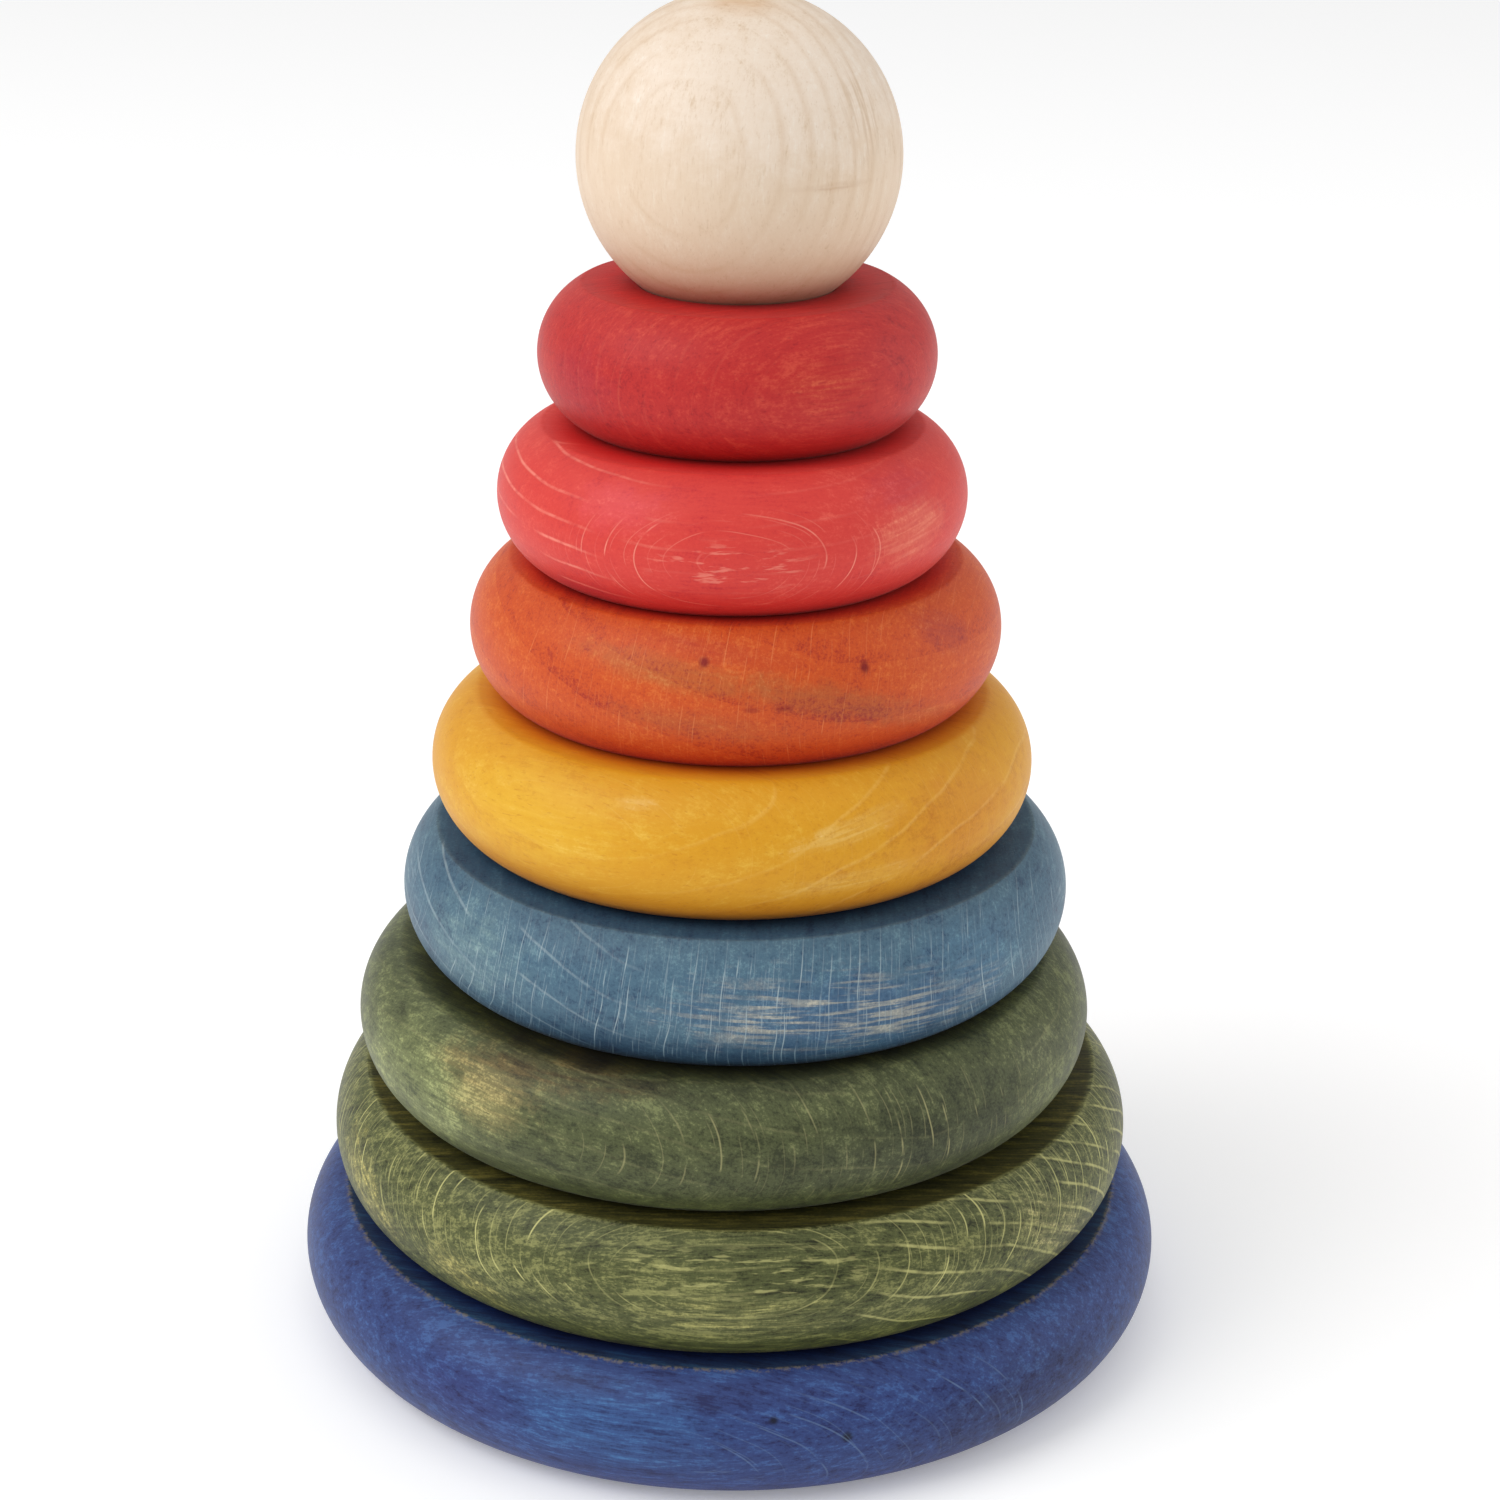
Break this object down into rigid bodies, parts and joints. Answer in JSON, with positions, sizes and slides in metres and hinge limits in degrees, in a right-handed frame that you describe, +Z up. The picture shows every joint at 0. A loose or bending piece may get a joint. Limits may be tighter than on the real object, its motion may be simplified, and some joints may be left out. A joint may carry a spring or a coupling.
{
  "type": "stacking ring tower puzzle",
  "caption": "Wooden stacking tower: loose bulging rings of falling diameter threaded on a central peg above a wide base, capped with a loose ball.",
  "frame": {"origin": "centre of the base disc's flat underside", "axes": "+Z up along the peg; X and Y are level, and -Y faces the usual viewer"},
  "size_m": [0.12, 0.12, 0.1804],
  "materials": {
    "blue_stain": "thin stain, satin, grain showing",
    "olive_stain": "thin stain, satin, grain showing",
    "green_stain": "thin stain, satin, grain showing",
    "light_blue_stain": "thin stain, satin, grain showing",
    "yellow_stain": "thin stain, satin, grain showing",
    "orange_stain": "thin stain, satin, grain showing",
    "coral_stain": "thin stain, satin, grain showing",
    "red_stain": "thin stain, satin, grain showing",
    "natural_wood": "sanded, unvarnished"
  },
  "bodies": {
    "stand": {"base_disc": "blue_stain", "peg": "natural_wood"},
    "olive_ring": {"olive_ring": "olive_stain"},
    "green_ring": {"green_ring": "green_stain"},
    "light_blue_ring": {"light_blue_ring": "light_blue_stain"},
    "yellow_ring": {"yellow_ring": "yellow_stain"},
    "orange_ring": {"orange_ring": "orange_stain"},
    "coral_ring": {"coral_ring": "coral_stain"},
    "red_ring": {"red_ring": "red_stain"},
    "ball": {"ball": "natural_wood"}
  },
  "joints": [
    {"name": "olive_ring_lift", "type": "slide", "parent": "stand", "child": "olive_ring", "axis": [0, 0, 1], "range_m": [0, 0.135]},
    {"name": "green_ring_lift", "type": "slide", "parent": "olive_ring", "child": "green_ring", "axis": [0, 0, 1], "range_m": [0, 0.117]},
    {"name": "light_blue_ring_lift", "type": "slide", "parent": "green_ring", "child": "light_blue_ring", "axis": [0, 0, 1], "range_m": [0, 0.099]},
    {"name": "yellow_ring_lift", "type": "slide", "parent": "light_blue_ring", "child": "yellow_ring", "axis": [0, 0, 1], "range_m": [0, 0.082]},
    {"name": "orange_ring_lift", "type": "slide", "parent": "yellow_ring", "child": "orange_ring", "axis": [0, 0, 1], "range_m": [0, 0.063]},
    {"name": "coral_ring_lift", "type": "slide", "parent": "orange_ring", "child": "coral_ring", "axis": [0, 0, 1], "range_m": [0, 0.045]},
    {"name": "red_ring_lift", "type": "slide", "parent": "coral_ring", "child": "red_ring", "axis": [0, 0, 1], "range_m": [0, 0.027]},
    {"name": "ball_lift", "type": "slide", "parent": "red_ring", "child": "ball", "axis": [0, 0, 1], "range_m": [0, 0.01]}
  ]
}
